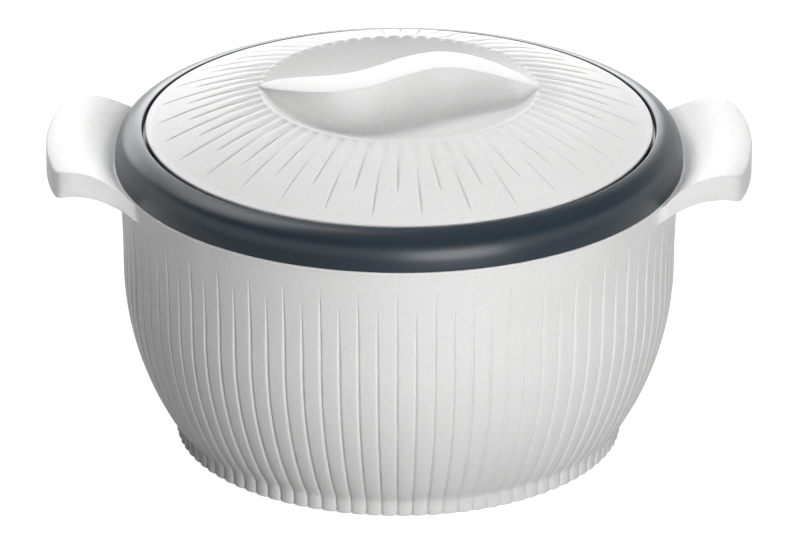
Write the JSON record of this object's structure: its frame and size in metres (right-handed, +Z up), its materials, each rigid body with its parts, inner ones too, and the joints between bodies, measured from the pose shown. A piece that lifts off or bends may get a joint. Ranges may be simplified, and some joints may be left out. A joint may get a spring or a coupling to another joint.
{
  "type": "insulated casserole",
  "caption": "Round insulated bread casserole with a fluted double-wall body, steel bowl, two ear handles and a lift-off domed lid with an S-shaped grip in a round recess.",
  "frame": {"origin": "centre of the foot's bottom face, on the table", "axes": "+Z up, the lid's lifting direction; +X along the two handles; -Y is the front seen in the picture"},
  "size_m": [0.334, 0.27, 0.184],
  "materials": {
    "white_plastic": "fine satin texture",
    "slate_plastic": "satin dark slate",
    "steel": "brushed inside",
    "silicone": "soft translucent grey",
    "foam": "rigid closed-cell foam"
  },
  "bodies": {
    "base": {"outer_shell": "white_plastic", "inner_bowl": "steel", "rim_collar": "white_plastic", "rim_gasket": "silicone", "body_foam": "foam", "base_plate": "white_plastic", "base_plug": "white_plastic"},
    "lid": {"lid_ring": "slate_plastic", "lid_cover": "white_plastic", "lid_liner": "white_plastic", "lid_seal": "silicone", "lid_foam": "foam", "lid_plug": "white_plastic"}
  },
  "joints": [
    {"name": "lid_lift", "type": "slide", "parent": "base", "child": "lid", "axis": [0, 0, 1], "range_m": [0, 0.15]}
  ]
}
